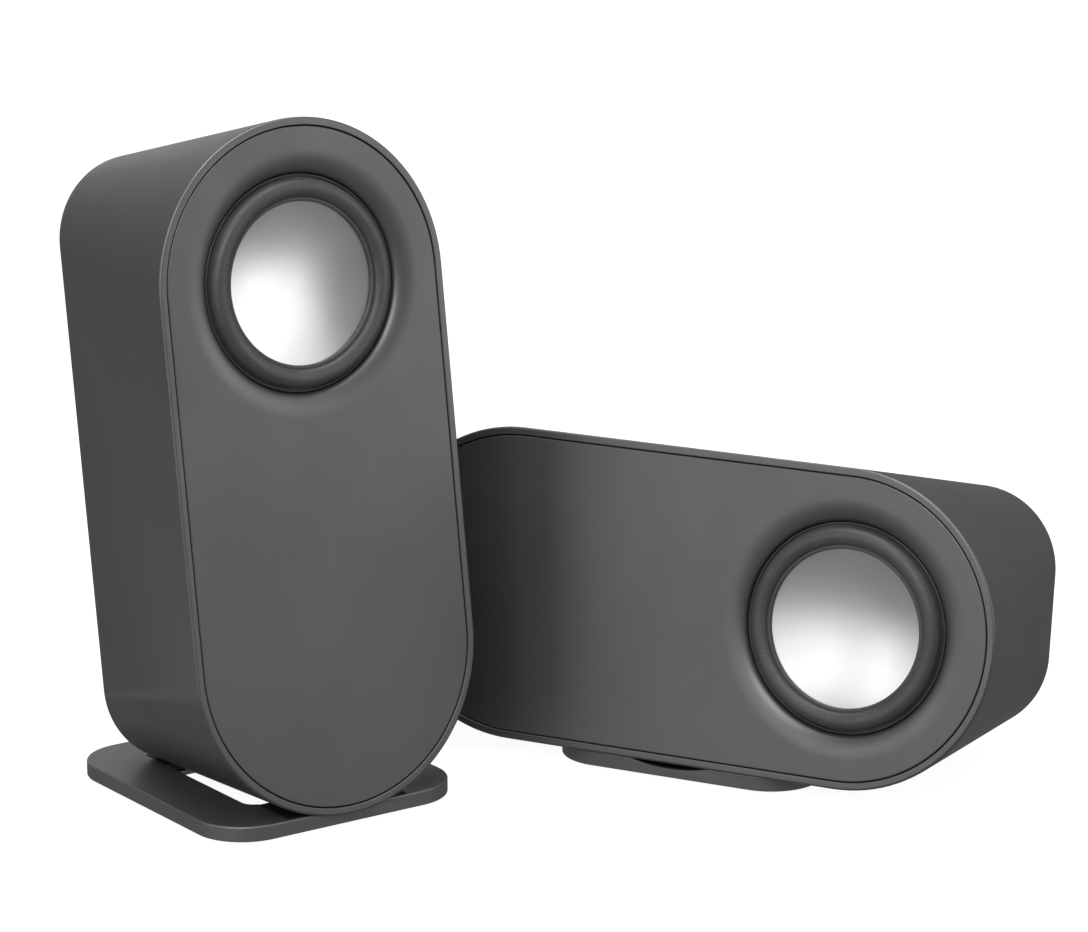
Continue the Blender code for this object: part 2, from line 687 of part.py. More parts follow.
SHELL = new_material("graphite shell", (0.085, 0.086, 0.090), 0.45)
BAFFLE = new_material("graphite baffle", (0.095, 0.096, 0.100), 0.42)
PLATE = new_material("graphite stand", (0.085, 0.086, 0.090), 0.45)
TRIM = new_material("dark trim", (0.04, 0.04, 0.042), 0.4)
SURROUND = new_material("surround rubber", (0.045, 0.045, 0.047), 0.5)
SILVER = new_material("silver cone", (0.72, 0.72, 0.73), 0.25, 1.0)
RUBBER = new_material("black rubber", (0.012, 0.012, 0.013), 0.7)
FOAM = new_material("gasket foam", (0.02, 0.02, 0.02), 0.9)
WADDING = new_material("wadding", (0.75, 0.74, 0.70), 0.95)
STEEL = new_material("basket steel", (0.03, 0.03, 0.032), 0.45, 0.6)
ZINC = new_material("zinc plate", (0.55, 0.55, 0.56), 0.35, 1.0)
FERRITE = new_material("ferrite", (0.06, 0.06, 0.065), 0.6)
COPPER = new_material("copper winding", (0.55, 0.25, 0.12), 0.35, 1.0)
CLOTH = new_material("spider cloth", (0.55, 0.38, 0.14), 0.9)
BOARD = new_material("terminal board", (0.25, 0.16, 0.07), 0.6)
RED = new_material("red lead", (0.45, 0.02, 0.02), 0.5)
BLACK = new_material("black lead", (0.012, 0.012, 0.012), 0.5)

make_speaker("left_", LEFT_PLACE, LEFT_TURN, upright_matrix())
make_speaker("right_", RIGHT_PLACE, RIGHT_TURN, lying_matrix())
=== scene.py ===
"""A pair of desktop speakers: one cabinet stands on its plate, and one lies on its long side."""
import json
from math import asin, cos, pi, radians, sin, sqrt, tan

import bmesh
import bpy
import numpy as np
from mathutils import Matrix, Vector


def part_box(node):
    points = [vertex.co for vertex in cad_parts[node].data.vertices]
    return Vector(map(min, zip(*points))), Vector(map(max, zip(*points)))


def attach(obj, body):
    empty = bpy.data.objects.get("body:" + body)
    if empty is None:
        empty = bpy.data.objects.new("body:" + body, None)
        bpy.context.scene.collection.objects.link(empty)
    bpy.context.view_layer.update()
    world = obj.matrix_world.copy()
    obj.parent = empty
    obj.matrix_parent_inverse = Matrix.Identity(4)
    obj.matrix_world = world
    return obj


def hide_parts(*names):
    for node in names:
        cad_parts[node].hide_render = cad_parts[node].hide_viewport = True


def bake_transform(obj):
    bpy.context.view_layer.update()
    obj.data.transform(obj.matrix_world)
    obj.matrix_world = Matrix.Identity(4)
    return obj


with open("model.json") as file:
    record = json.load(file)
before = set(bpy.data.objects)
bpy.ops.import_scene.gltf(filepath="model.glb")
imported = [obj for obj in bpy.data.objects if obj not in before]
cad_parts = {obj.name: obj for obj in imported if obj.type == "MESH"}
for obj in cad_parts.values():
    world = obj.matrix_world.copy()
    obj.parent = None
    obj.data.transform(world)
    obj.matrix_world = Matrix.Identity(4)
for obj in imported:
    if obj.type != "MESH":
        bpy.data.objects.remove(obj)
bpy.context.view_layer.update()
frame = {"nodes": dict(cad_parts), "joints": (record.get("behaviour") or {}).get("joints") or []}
JOINTS = {joint["name"]: joint for joint in frame["joints"]}
UP = Vector((0, 0, 1))

# Meshing.  Steps are round a whole turn, and angles are in degrees.
CORNER_STEPS = 28
ROUND_STEPS = 192
SPIDER_STEPS = 96
SMALL_STEPS = 64
HOLE_STEPS = 48
PILOT_STEPS = 16
SHARP_ANGLE = 35
PLATE_SHARP_ANGLE = 28
ALL_CURVED = 60
ALL_LUMPY = 80
ON_AXIS = 1e-9
FILLET_MARGIN = 0.0001
OVERCUT = 0.001
DEEP_OVERCUT = 0.002

# Cabinet, in metres.  Its own frame has X to the right, Y back and Z along its height.
FRONT_CORNER = 0.0469
BACK_CORNER = 0.023
BACK_EDGE = 0.005
WALL = 0.0023
SEAM = 0.0003
GAP = 0.0003
RIM_EDGE = 0.0008
RIM_INNER_EDGE = 0.0002
LEDGE_EDGE = 0.0004
BAFFLE_FRONT = 0.0001
BAFFLE_THICKNESS = 0.0029
BAFFLE_EDGE = 0.0004
LEDGE_DEPTH = 0.0046
LEDGE_THICKNESS = 0.002
LEDGE_WIDTH = 0.0065
GASKET_MARGIN = 0.001
GASKET_BULGE = 0.0003
WADDING_CROWN = 0.16
WADDING_WIDE_LUMP = 0.035
WADDING_SMALL_LUMP = 0.025

# Driver, in radii from its axis and heights towards the listener from the cabinet's front plane.
RECESS_RADIUS = 0.0382
RECESS_DEPTH = 0.0027
BORE_RADIUS = 0.0312
FLAT_BAND = 0.0012
COLLAR_RADIUS = 0.0388
LIP_WIDTH = 0.0008
LIP_GROOVE = 0.00018
ROLL_HALF_WIDTH = 0.0026
CONE_OVERLAP = 0.0011
ROLL_FOOT = 0.0002
SKIN = 0.0005
BEAD_HEIGHT = 0.00018
CONE_SKIN = 0.0006
GROOVE_TURN = 0.30
TRIM_WALL = 0.0008
TRIM_SHELF_WIDTH = 0.0021
TRIM_SHELF_EDGE = 0.0015
TRIM_SHELF_ROOT = 0.0025
SPIDER_CLEARANCE = 0.0003
SPIDER_RIM = 0.0026
SPIDER_HALF_SKIN = 0.0002
SPIDER_WAVES = 2.5
SCREW_CIRCLE = 0.0350
PILOT_RADIUS = 0.0015
PILOT_DEPTH = 0.0029

# Cable gland.
GLAND_HEIGHT = -0.055
GLAND_NECK = 0.0040
GLAND_BORE = 0.0020
GLAND_BARB_DROP = 0.001
GLAND_HOLE_OUT = 0.004
GLAND_HOLE_IN = 0.006

# Stand.  Its own frame has X to the right along its front edge and Y back.
PLATE_CORNER = 0.0155
PLATE_EDGE = 0.0006
WINDOW_HALF_WIDTH = 0.0227
WINDOW_FRONT = 0.0175
WINDOW_BACK = 0.0641
WINDOW_CORNERS = (0.0008, 0.0008, 0.0042, 0.0042)
POCKET_EDGE = 0.0003
PAD_POCKET_DEPTH = 0.0030
PAD_CORNER = 0.0006
PAD_EDGE = 0.0004
FOOT_POCKET = 0.0018
SOLE_HOLLOW = 0.0003
SOLE_HOLLOW_SHARE = 0.55
SOLE_RING_SHARE = 0.62

# Camera and the floor it stands over.
CAMERA_PLACE = (-0.006, -1.371, 0.449)
CAMERA_PITCH = radians(14.7)
CAMERA_ROLL = radians(0.19)
CAMERA_LENS = 159
FLOOR_REACH = 6.0
FLOOR_GLOW = 0.94

# Studio: soft boxes on a dome round the speakers, in banks of equal boxes, in degrees and watts.
LIGHT_CENTRE = Vector((0, 0, 0.1))
LIGHT_REACH = 1.9
WORLD_STRENGTH = 0.2
LOW_BOX = 0.8
HIGH_BOX = 1.0
TOP_BOX = 1.6
LOW_RISE = 8
HIGH_RISE = 35
LEFT_BANK = (-120, -140, -160)
RIGHT_BANK = (-20, 0)
BACK_BANK = (100, 120)
LEFT_POWER = 2.5
RIGHT_POWER = 3.0
BACK_POWER = 1.0
FRONT_POWER = 15.0
TOP_POWER = 30.0


# ------------------------------------------------------------------ frames from the CAD nodes

def axes(x, y, z, origin):
    """A frame from its three directions and its origin."""
    made = Matrix.Identity(4)
    for column, direction in enumerate((x, y, z, origin)):
        for row in range(3):
            made[row][column] = direction[row]
    return made


def extent(node, place):
    """Lowest and highest corner of a CAD node, measured along another frame's axes."""
    points = np.array([vertex.co for vertex in frame["nodes"][node].data.vertices])
    inverse = np.array(place.inverted())
    local = points @ inverse[:3, :3].T + inverse[:3, 3]
    return Vector(local.min(0)), Vector(local.max(0))


def middle(node):
    low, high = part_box(node)
    return (low + high) / 2


class Speaker:
    """One speaker's frames and sizes, read from its CAD nodes."""

    def __init__(self, side, lying):
        self.side = side
        self.stand_body = f"{side}_stand"
        self.cabinet_body = f"{side}_cabinet"
        self.diaphragm_body = f"{side}_diaphragm"
        corner, right, back = (middle(f"{side}_foot_{number}") for number in (1, 2, 3))
        along, deep = (right - corner).normalized(), (back - corner).normalized()
        rough = axes(along, deep, UP, Vector((0, 0, 0)))
        self.plate_low, self.plate_high = extent(f"{side}_stand_plate", rough)
        front_middle = ((self.plate_low.x + self.plate_high.x) / 2, self.plate_low.y, 0)
        self.stand = rough @ Matrix.Translation(front_middle)
        self.plate_half = (self.plate_high.x - self.plate_low.x) / 2
        self.plate_depth = self.plate_high.y - self.plate_low.y

        towards = Vector(JOINTS[f"{side}_cone_travel"]["axis"]).normalized()
        self.lean = asin(towards.z)
        back = -towards
        tall = along if lying else UP
        tall = (tall - tall.dot(back) * back).normalized()
        rough = axes(back.cross(tall), back, tall, Vector((0, 0, 0)))
        low, high = extent(f"{side}_cabinet_shell", rough)
        self.half_width = (high.x - low.x) / 2
        self.half_height = (high.z - low.z) / 2
        self.depth = high.y - low.y
        self.cabinet = rough @ Matrix.Translation(((low.x + high.x) / 2, low.y, (low.z + high.z) / 2))
        towards_listener = Matrix.Rotation(pi / 2, 4, "X")
        low, high = extent(f"{side}_cone", self.cabinet)
        self.driver = self.cabinet @ Matrix.Translation((0, 0, (low.z + high.z) / 2)) @ towards_listener
        self.gland = self.cabinet @ Matrix.Translation((0, 0, GLAND_HEIGHT)) @ towards_listener

    def turned_size(self, name):
        """Radius, back and front of a round CAD node about the driver's axis."""
        low, high = extent(f"{self.side}_{name}", self.driver)
        return max(high.x, high.y), low.z, high.z

    def tub_ring(self, depth, inset):
        """The cabinet's outline at a depth behind its front plane, drawn in by an inset."""
        closing = depth * tan(self.lean) + inset
        radius = FRONT_CORNER + (BACK_CORNER - FRONT_CORNER) * depth / self.depth - inset
        wide, high = self.half_width - closing, self.half_height - closing
        outline = rounded_outline(-wide, wide, -high, high, [radius] * 4, CORNER_STEPS)
        return [(x, depth, z) for x, z in outline]


# ------------------------------------------------------------------ outlines

def arc(centre, radius, start, end, steps):
    """Points along an arc, in degrees, both ends included."""
    turns = [radians(start + (end - start) * i / steps) for i in range(steps + 1)]
    return [(centre[0] + radius * cos(t), centre[1] + radius * sin(t)) for t in turns]


def rounded_outline(left, right, low, high, corners, steps):
    """A rectangle with its own radius at each corner: right-high, left-high, left-low, right-low."""
    signs = ((right, high, -1, -1), (left, high, 1, -1), (left, low, 1, 1), (right, low, -1, 1))
    points = []
    for quarter, ((x, y, dx, dy), radius) in enumerate(zip(signs, corners)):
        centre = (x + dx * radius, y + dy * radius)
        points += arc(centre, radius, 90 * quarter, 90 * quarter + 90, steps)
    return points


def filleted(corners, steps=5):
    """A row of (a, b, radius) corners with each corner rounded by its own radius.  The ends stay."""
    points = []
    for number, (a, b, radius) in enumerate(corners):
        here = Vector((a, b))
        if not radius:
            points.append(here)
            continue
        to_before = (Vector(corners[number - 1][:2]) - here).normalized()
        to_after = (Vector(corners[(number + 1) % len(corners)][:2]) - here).normalized()
        half = to_before.angle(to_after) / 2
        centre = here + (to_before + to_after).normalized() * radius / sin(half)
        start = (here + to_before * radius / tan(half) - centre).normalized()
        end = (here + to_after * radius / tan(half) - centre).normalized()
        swing = start.angle(end)
        for i in range(steps + 1):
            near, far = sin((1 - i / steps) * swing), sin(i / steps * swing)
            points.append(centre + radius * (start * near + end * far) / sin(swing))
    return points


# ------------------------------------------------------------------ mesh building

def add_ring(bm, points):
    return [bm.verts.new(point) for point in points]


def skin(bm, near, far):
    """Faces between two rings.  A ring of one point is a pole."""
    count = max(len(near), len(far))
    for i in range(count):
        j = (i + 1) % count
        corners = (near[i % len(near)], near[j % len(near)], far[j % len(far)], far[i % len(far)])
        bm.faces.new(dict.fromkeys(corners))


def skin_rows(bm, rows, closed=False):
    for near, far in zip(rows, rows[1:] + rows[:1] if closed else rows[1:]):
        skin(bm, near, far)


def turned_rows(bm, profile, steps=ROUND_STEPS):
    """Rings about Z through a row of (radius, height) points."""
    rows = []
    for radius, height in profile:
        count = steps if radius > ON_AXIS else 1
        turns = [2 * pi * i / count for i in range(count)]
        rows.append(add_ring(bm, [(radius * cos(t), radius * sin(t), height) for t in turns]))
    return rows


def plane_between(bm, outer, inner):
    """A flat face between two rings that lie in one plane."""
    edges = []
    for ring in (outer, inner):
        for i, vertex in enumerate(ring):
            after = ring[(i + 1) % len(ring)]
            edges.append(bm.edges.get((vertex, after)) or bm.edges.new((vertex, after)))
    bmesh.ops.triangle_fill(bm, use_beauty=True, edges=edges)


def new_object(name, bm, place):
    """The finished object from a bmesh, in its own frame."""
    bmesh.ops.recalc_face_normals(bm, faces=bm.faces)
    mesh = bpy.data.meshes.new(name)
    bm.to_mesh(mesh)
    bm.free()
    thing = bpy.data.objects.new(name, mesh)
    bpy.context.scene.collection.objects.link(thing)
    thing.matrix_world = place
    return thing


def turned(name, profile, place, steps=ROUND_STEPS):
    """A turned solid from a closed profile, or from one that starts and ends on the axis."""
    bm = bmesh.new()
    solid_core = abs(profile[0][0]) < ON_AXIS and abs(profile[-1][0]) < ON_AXIS
    skin_rows(bm, turned_rows(bm, profile, steps), closed=not solid_core)
    return new_object(name, bm, place)


def lofted(name, rings, place, closed=False):
    """A skin over a row of rings, capped at its ends or joined end to end."""
    bm = bmesh.new()
    rows = [add_ring(bm, ring) for ring in rings]
    skin_rows(bm, rows, closed)
    if not closed:
        bm.faces.new(rows[0])
        bm.faces.new(rows[-1])
    return new_object(name, bm, place)


def slab(name, left, right, low, high, corners, layers, place, steps=16):
    """A rounded rectangle stacked through (inset, height) layers."""
    rings = []
    for inset, height in layers:
        radii = [radius - inset for radius in corners]
        outline = rounded_outline(left + inset, right - inset, low + inset, high - inset, radii, steps)
        rings.append([(x, y, height) for x, y in outline])
    return lofted(name, rings, place)


def cut(target, tools):
    """Cut tools out of a target for good, and remove them."""
    for tool in tools:
        modifier = target.modifiers.new("cut", "BOOLEAN")
        modifier.operation = "DIFFERENCE"
        modifier.solver = "EXACT"
        modifier.object = tool
    graph = bpy.context.evaluated_depsgraph_get()
    mesh = bpy.data.meshes.new_from_object(target.evaluated_get(graph))
    target.modifiers.clear()
    target.data = mesh
    for tool in tools:
        bpy.data.objects.remove(tool)


def smooth(thing, angle=SHARP_ANGLE):
    """Smooth shading that keeps flat faces flat and hard edges hard."""
    thing.data.shade_smooth()
    thing.data.set_sharp_from_angle(angle=radians(angle))
    if angle >= ALL_CURVED:
        return
    weighted = thing.modifiers.new("weighted normals", "WEIGHTED_NORMAL")
    weighted.keep_sharp = True
    weighted.weight = 100


def finish_piece(thing, body, node, material, angle=SHARP_ANGLE):
    """Shading, material, body and CAD node of a new piece, with its mesh in the shared frame."""
    thing.data.transform(thing.matrix_world)
    thing.matrix_world = Matrix.Identity(4)
    smooth(thing, angle)
    thing.data.materials.clear()
    thing.data.materials.append(material)
    if body:
        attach(thing, body)
    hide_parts(node)
    return thing


# ------------------------------------------------------------------ materials

class Shader:
    """A Principled material whose sockets are fed by small node chains."""

    def __init__(self, name, roughness, metallic=0.0, axis=None, **constants):
        self.material = bpy.data.materials.new(name)
        self.material.use_nodes = True
        self.nodes = self.material.node_tree.nodes
        self.links = self.material.node_tree.links
        self.surface = self.nodes["Principled BSDF"]
        self.place = self.add("ShaderNodeTexCoord").outputs["Object"]
        if axis:
            turn = axis.inverted()
            inputs = {"Vector": self.place, "Location": turn.translation, "Rotation": turn.to_euler()}
            self.place = self.add("ShaderNodeMapping", inputs).outputs["Vector"]
        self.feed("Roughness", roughness)
        self.feed("Metallic", metallic)
        for socket, value in constants.items():
            self.feed(socket.replace("_", " "), value)

    def add(self, kind, inputs=None, **settings):
        node = self.nodes.new(kind)
        for key, value in settings.items():
            setattr(node, key, value)
        for key, value in (inputs or {}).items():
            self.join(node.inputs[key], value)
        return node

    def join(self, socket, value):
        if isinstance(value, bpy.types.NodeSocket):
            self.links.new(value, socket)
        else:
            socket.default_value = value

    def feed(self, socket, value):
        self.join(self.surface.inputs[socket], value)

    def noise(self, scale, detail=2.0, stretch=None):
        place = self.place
        if stretch:
            place = self.add("ShaderNodeMapping", {"Vector": place, "Scale": stretch}).outputs["Vector"]
        made = self.add("ShaderNodeTexNoise", {"Vector": place, "Scale": scale, "Detail": detail})
        return made.outputs["Fac"]

    def cells(self, scale):
        made = self.add("ShaderNodeTexVoronoi", {"Vector": self.place, "Scale": scale})
        return made.outputs["Distance"]

    def waves(self, scale, direction, kind="BANDS"):
        setting = {"wave_type": kind, f"{kind.lower()}_direction": direction}
        made = self.add("ShaderNodeTexWave", {"Vector": self.place, "Scale": scale}, **setting)
        return made.outputs["Fac"]

    def crossed(self, first, second):
        """The higher of two patterns."""
        made = self.add("ShaderNodeMath", {0: first, 1: second}, operation="MAXIMUM")
        return made.outputs["Value"]

    def spread(self, value, low, high, from_low=0.3, from_high=0.7):
        """A number field mapped onto a range."""
        made = self.add("ShaderNodeMapRange", {"Value": value, "From Min": from_low,
                                               "From Max": from_high, "To Min": low, "To Max": high})
        return made.outputs["Result"]

    def blend(self, share, first, second):
        """A colour between two, by a share from 0 to 1."""
        made = self.add("ShaderNodeMix", data_type="RGBA")
        self.join(made.inputs["Factor"], share)
        for socket, colour in zip([s for s in made.inputs if s.type == "RGBA"], (first, second)):
            self.join(socket, (*colour, 1.0) if isinstance(colour, tuple) else colour)
        return next(s for s in made.outputs if s.type == "RGBA")

    def painted_edge_highlight(self, strength):
        """Painted highlight: 1 on convex edges and 0 on open faces."""
        pointiness = self.add("ShaderNodeNewGeometry").outputs["Pointiness"]
        return self.spread(pointiness, 0.0, strength, 0.52, 0.62)

    def bump(self, height, depth, after=None):
        made = self.add("ShaderNodeBump", {"Height": height, "Distance": depth, "Strength": 1.0})
        if after is not None:
            self.join(made.inputs["Normal"], after)
        return made.outputs["Normal"]


def shades(colour, spread):
    """A darker and a lighter version of a colour."""
    return tuple(tuple(channel * factor for channel in colour) for factor in (1 - spread, 1 + spread))


def moulded(name, lightness, roughness, depth):
    """Fine-grained graphite paint with faint clouding and a painted highlight on convex edges."""
    # A factor other than 1 paints a lighter or darker copy of the same graphite paint: painted light or
    # shade.
    colour = tuple(lightness * channel for channel in GRAPHITE)
    shader = Shader(name, roughness, PAINT_METALLIC)
    cloud = shader.noise(28.0, 3.0)
    fine = shader.noise(PAINT_GRAIN, 2.0)
    dark, light = shades(colour, 0.05)
    tone = shader.blend(shader.spread(cloud, 0.0, 1.0), dark, light)
    flakes = shader.spread(fine, 0.0, 0.25, 0.55, 0.75)
    tone = shader.blend(flakes, tone, tuple(channel * 1.5 for channel in colour))
    # Convex edges are painted 1.7 times lighter: a painted edge highlight, not wear.
    tone = shader.blend(shader.painted_edge_highlight(0.5), tone, tuple(channel * 1.7 for channel in colour))
    shader.feed("Base Color", tone)
    smears = shader.noise(60.0, 4.0, (1.0, 1.0, 0.35))
    shader.feed("Roughness", shader.spread(smears, roughness - 0.025, roughness + 0.035))
    shader.feed("Normal", shader.bump(fine, depth))
    return shader.material


def rubber(name, colour, roughness, grain, depth, specks=0.0):
    """Matt elastomer with a pebbled skin, and stray light specks of dust if asked."""
    shader = Shader(name, roughness)
    dark, light = shades(colour, 0.12)
    tone = shader.blend(shader.spread(shader.noise(90.0, 3.0), 0.0, 1.0), dark, light)
    if specks:
        dust = shader.spread(shader.cells(1100.0), specks, 0.0, 0.06, 0.20)
        tone = shader.blend(dust, tone, (0.30, 0.30, 0.31))
    shader.feed("Base Color", tone)
    scuffs = shader.noise(220.0, 2.0)
    shader.feed("Roughness", shader.spread(scuffs, roughness - 0.05, roughness + 0.06))
    shader.feed("Normal", shader.bump(shader.noise(grain, 3.0), depth))
    return shader.material


def silver_paint():
    """Satin aluminium paint: a very fine flake over a smooth dish."""
    shader = Shader("silver_paint", 0.30, 1.0)
    flake = shader.noise(5200.0, 1.0)
    dark, light = shades((0.71, 0.71, 0.72), 0.02)
    shader.feed("Base Color", shader.blend(shader.spread(flake, 0.0, 1.0), dark, light))
    shader.feed("Roughness", shader.spread(shader.noise(45.0, 3.0), 0.27, 0.33))
    shader.feed("Normal", shader.bump(flake, 0.0000004))
    return shader.material


def metal(name, colour, roughness, axis=None):
    """Bare or plated metal, with turning marks if it has an axis."""
    shader = Shader(name, roughness, 1.0, axis)
    dark, light = shades(colour, 0.10)
    cloud = shader.noise(160.0, 4.0)
    shader.feed("Base Color", shader.blend(shader.spread(cloud, 0.0, 1.0), dark, light))
    scuffs = shader.noise(400.0, 2.0)
    shader.feed("Roughness", shader.spread(scuffs, roughness - 0.07, roughness + 0.09))
    if axis:
        marks = shader.crossed(shader.waves(900.0, "Z"), shader.waves(900.0, "Z", "RINGS"))
    else:
        marks = shader.noise(1800.0, 2.0)
    shader.feed("Normal", shader.bump(marks, 0.000006))
    return shader.material


def foam():
    """Open-celled black foam."""
    shader = Shader("gasket_foam", 0.95)
    pores = shader.cells(1600.0)
    share = shader.spread(pores, 0.0, 1.0, 0.1, 0.6)
    shader.feed("Base Color", shader.blend(share, (0.006, 0.006, 0.006), (0.030, 0.030, 0.031)))
    shader.feed("Normal", shader.bump(pores, 0.0003))
    return shader.material


def wadding():
    """Off-white polyester fibre."""
    shader = Shader("wadding", 0.95, Sheen_Weight=0.4, Sheen_Roughness=0.5)
    strands = shader.noise(260.0, 8.0, (1.0, 0.25, 3.0))
    crossing = shader.noise(320.0, 8.0, (3.0, 1.0, 0.3))
    shader.feed("Base Color", shader.blend(shader.spread(strands, 0.0, 1.0), (0.55, 0.54, 0.50),
                                           (0.86, 0.85, 0.82)))
    first = shader.bump(strands, 0.0012)
    shader.feed("Normal", shader.bump(crossing, 0.0009, first))
    return shader.material


def ferrite():
    shader = Shader("ferrite", 0.55, 0.2)
    grit = shader.noise(1200.0, 5.0)
    shader.feed("Base Color", shader.blend(shader.spread(grit, 0.0, 1.0), (0.030, 0.030, 0.033),
                                           (0.095, 0.095, 0.10)))
    shader.feed("Normal", shader.bump(grit, 0.00008))
    return shader.material


def winding(name, axis):
    """Enamelled copper wire laid turn beside turn."""
    shader = Shader(name, 0.28, 1.0, axis, Coat_Weight=0.5)
    turns = shader.waves(1100.0, "Z")
    shader.feed("Base Color", shader.blend(turns, (0.28, 0.10, 0.035), (0.62, 0.27, 0.11)))
    shader.feed("Normal", shader.bump(turns, 0.00006))
    return shader.material


def impregnated_cloth(name, axis):
    """The spider's resin-stiffened weave."""
    shader = Shader(name, 0.85, 0.0, axis, Sheen_Weight=0.2)
    weave = shader.crossed(shader.waves(420.0, "X"), shader.waves(420.0, "Y"))
    shader.feed("Base Color", shader.blend(weave, (0.30, 0.19, 0.06), (0.62, 0.43, 0.17)))
    shader.feed("Normal", shader.bump(weave, 0.00012))
    return shader.material


def phenolic_board():
    shader = Shader("phenolic_board", 0.5)
    fibres = shader.noise(300.0, 6.0, (0.2, 3.0, 1.0))
    shader.feed("Base Color", shader.blend(shader.spread(fibres, 0.0, 1.0), (0.16, 0.085, 0.03),
                                           (0.34, 0.20, 0.08)))
    shader.feed("Normal", shader.bump(fibres, 0.00005))
    return shader.material


GRAPHITE = (0.152, 0.154, 0.159)
PAINT_METALLIC = 0.75
PAINT_GRAIN = 3200.0
SHELL = moulded("graphite_shell", 1.0, 0.40, 0.0000022)
# The baffle is the shell's graphite paint at 0.98 of its brightness: painted shade, not a darker paint.
BAFFLE = moulded("graphite_baffle_painted_darker", 0.98, 0.42, 0.0000022)
# The stand is the shell's graphite paint made 1.3 times lighter: painted light, not a lighter paint.
STAND_PAINTED_LIGHTER = moulded("graphite_stand_painted_lighter", 1.3, 0.42, 0.0000025)
TRIM = rubber("satin_trim", (0.060, 0.060, 0.062), 0.34, 2200.0, 0.000003)
SURROUND = rubber("surround_rubber", (0.064, 0.064, 0.066), 0.46, 1900.0, 0.00001, specks=0.45)
BLACK_RUBBER = rubber("black_rubber", (0.010, 0.010, 0.011), 0.62, 1500.0, 0.00003)
SILVER = silver_paint()
STEEL = metal("basket_steel", (0.045, 0.045, 0.048), 0.42)
FOAM = foam()
WADDING = wadding()
FERRITE = ferrite()
BOARD = phenolic_board()
LEADS = {"red": rubber("red_lead", (0.42, 0.018, 0.015), 0.42, 900.0, 0.00001),
         "black": rubber("black_lead", (0.012, 0.012, 0.012), 0.42, 900.0, 0.00001)}


# ------------------------------------------------------------------ cabinet

def make_cabinet_shell(speaker):
    """A tub with a rounded front rim, a ledge for the baffle and a hole for the gland."""
    ledge_back = LEDGE_DEPTH + LEDGE_THICKNESS
    depth = speaker.depth
    section = filleted([
        (depth, BACK_EDGE, 0), (depth, 0, BACK_EDGE - FILLET_MARGIN), (0, 0, RIM_EDGE),
        (0, WALL, RIM_INNER_EDGE), (LEDGE_DEPTH, WALL, 0), (LEDGE_DEPTH, LEDGE_WIDTH, LEDGE_EDGE),
        (ledge_back, LEDGE_WIDTH, LEDGE_EDGE), (ledge_back, WALL, 0),
        (depth - WALL, WALL, BACK_EDGE - WALL - FILLET_MARGIN), (depth - WALL, BACK_EDGE, 0),
    ], steps=8)
    rings = [speaker.tub_ring(*point) for point in section]
    shell = lofted(f"{speaker.side}_shell", rings, speaker.cabinet)
    bm = bmesh.new()
    outside, inside = -depth - GLAND_HOLE_OUT, -depth + GLAND_HOLE_IN
    hole = [(0, outside), (GLAND_NECK + GAP, outside), (GLAND_NECK + GAP, inside), (0, inside)]
    skin_rows(bm, turned_rows(bm, hole, HOLE_STEPS))
    cut(shell, [new_object("gland_hole", bm, speaker.gland)])
    finish_piece(shell, speaker.cabinet_body, f"{speaker.side}_cabinet_shell", SHELL)


def make_front_baffle(speaker):
    """A flat panel whose face rolls over in a quarter ellipse into the driver's bore."""
    inset = WALL + SEAM
    back = BAFFLE_FRONT + BAFFLE_THICKNESS
    edge = filleted([(BAFFLE_FRONT, inset + 3 * BAFFLE_EDGE, 0), (BAFFLE_FRONT, inset, BAFFLE_EDGE),
                     (back, inset, 0)], steps=8)
    collar_back = speaker.turned_size("driver_trim_ring")[1] - GAP
    steps = 24
    roll_over = [(RECESS_RADIUS + FLAT_BAND, -BAFFLE_FRONT)]
    for i in range(steps + 1):
        turn = pi / 2 * i / steps
        roll_over.append((RECESS_RADIUS - (RECESS_RADIUS - BORE_RADIUS) * sin(turn),
                          -BAFFLE_FRONT - RECESS_DEPTH * (1 - cos(turn))))
    profile = [*roll_over, (BORE_RADIUS, collar_back), (COLLAR_RADIUS, collar_back),
               (COLLAR_RADIUS, -back)]
    bm = bmesh.new()
    panel = [add_ring(bm, speaker.tub_ring(*point)) for point in edge]
    skin_rows(bm, panel)
    bowl = turned_rows(bm, profile)
    skin_rows(bm, bowl)
    to_cabinet = speaker.cabinet.inverted() @ speaker.driver
    bmesh.ops.transform(bm, matrix=to_cabinet, verts=[vertex for ring in bowl for vertex in ring])
    plane_between(bm, panel[0], bowl[0])
    plane_between(bm, panel[-1], bowl[-1])
    baffle = new_object(f"{speaker.side}_baffle", bm, speaker.cabinet)
    pilots = []
    for place in screw_places():
        start, end = collar_back - OVERCUT, collar_back + PILOT_DEPTH
        hole = [(0, start), (PILOT_RADIUS, start), (PILOT_RADIUS, end), (0, end)]
        pilots.append(turned("pilot", hole, speaker.driver @ Matrix.Translation(place), PILOT_STEPS))
    cut(baffle, pilots)
    finish_piece(baffle, speaker.cabinet_body, f"{speaker.side}_front_baffle", BAFFLE)


def screw_places():
    turns = [radians(45 + 90 * i) for i in range(4)]
    return [(SCREW_CIRCLE * cos(t), SCREW_CIRCLE * sin(t), 0) for t in turns]


def make_baffle_gasket(speaker):
    """A foam ring pressed between the baffle and the shell's ledge."""
    front = BAFFLE_FRONT + BAFFLE_THICKNESS + GAP
    back = LEDGE_DEPTH - GAP
    near, far = WALL + SEAM, LEDGE_WIDTH - GASKET_MARGIN
    corners = ((front, near), (back, near), (back, far), (front, far))
    section = filleted([(*corner, GASKET_BULGE) for corner in corners], 4)
    gasket = lofted(f"{speaker.side}_foam_gasket", [speaker.tub_ring(*point) for point in section],
                    speaker.cabinet, closed=True)
    finish_piece(gasket, speaker.cabinet_body, f"{speaker.side}_baffle_gasket", FOAM)


